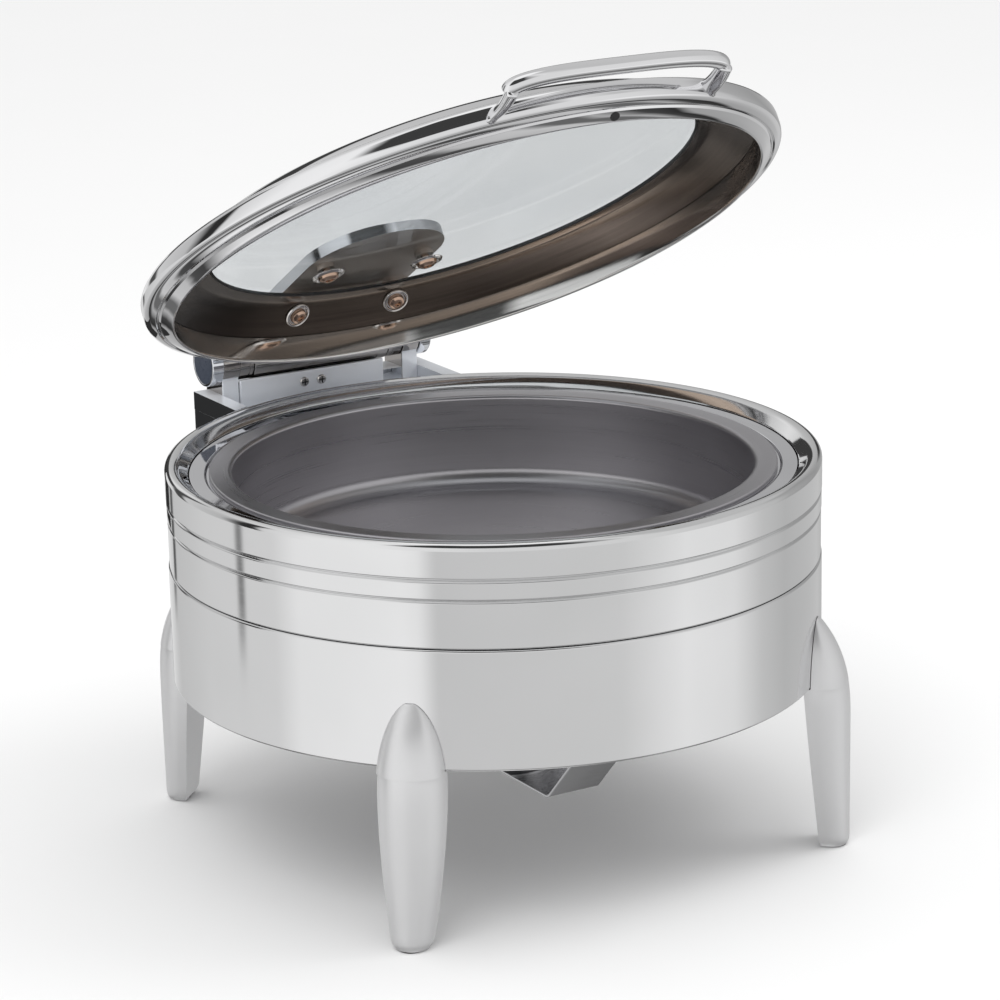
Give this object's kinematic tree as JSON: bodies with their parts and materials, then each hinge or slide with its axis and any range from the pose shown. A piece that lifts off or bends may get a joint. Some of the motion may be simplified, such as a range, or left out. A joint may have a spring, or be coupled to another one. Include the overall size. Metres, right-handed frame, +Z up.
{
  "type": "roll top chafer",
  "caption": "Round roll-top chafer: legged drum with a water pan and lift-out food pan, glazed lid on a rear friction hinge, and a fuel cup hung below.",
  "frame": {"origin": "centre of the footprint of the whole object at rest, on the plane the foot pads stand on; the drum's axis is 25 mm towards -Y", "axes": "+Z up; -Y is the front, where the lid's handle is; +Y is the hinge side; +X is the object's right seen from the front"},
  "size_m": [0.442, 0.4903, 0.5495],
  "materials": {
    "polished_steel": "polished stainless steel",
    "satin_steel": "satin stainless steel",
    "brushed_shell": "circumferentially brushed steel",
    "satin_cast": "satin cast metal",
    "hinge_chrome": "plated, polished",
    "screw_steel": "turned steel",
    "dark_plastic": "moulded, matt",
    "black_rubber": "moulded, matt",
    "clear_glass": "clear toughened glass"
  },
  "bodies": {
    "stand": {"stand_skirt": "polished_steel", "leg_front_left": "satin_cast", "leg_front_right": "satin_cast", "leg_rear_left": "satin_cast", "leg_rear_right": "satin_cast", "leg_screws": "screw_steel", "foot_pads": "black_rubber", "burner_hanger": "polished_steel", "hanger_rivets": "screw_steel", "fuel_cup": "satin_steel", "cup_rivets": "screw_steel", "body_shell": "polished_steel", "water_pan": "polished_steel", "hinge_base": "hinge_chrome", "base_bolts": "screw_steel", "hinge_front_plate": "hinge_chrome", "plate_screws": "screw_steel", "hinge_shaft": "screw_steel", "end_cap_left": "hinge_chrome", "end_cap_right": "hinge_chrome", "cap_insert_left": "dark_plastic", "cap_insert_right": "dark_plastic", "bearing_sleeve_left": "hinge_chrome", "bearing_sleeve_right": "hinge_chrome"},
    "lid": {"lid_arm": "hinge_chrome", "friction_bush_left": "dark_plastic", "friction_bush_right": "dark_plastic", "glass_bolts": "screw_steel", "glass_bolt_washers": "screw_steel", "wall_bolts": "screw_steel", "wall_bolt_washers": "screw_steel", "arm_pads": "screw_steel", "arm_spacers": "screw_steel", "lid_shell": "brushed_shell", "lid_rim": "polished_steel", "glass_gasket": "black_rubber", "glass_panel": "clear_glass", "handle_bar": "polished_steel", "handle_post_left": "polished_steel", "handle_post_right": "polished_steel", "lid_bumper": "black_rubber"},
    "food_pan": {"food_pan": "satin_steel"}
  },
  "joints": [
    {"name": "lid_hinge", "type": "hinge", "parent": "stand", "child": "lid", "pos_m": [0, 0.229, 0.285], "axis": [-1, 0, 0], "range_deg": [-32, 58]},
    {"name": "pan_lift", "type": "slide", "parent": "stand", "child": "food_pan", "axis": [0, 0, 1], "range_m": [0, 0.02]}
  ]
}
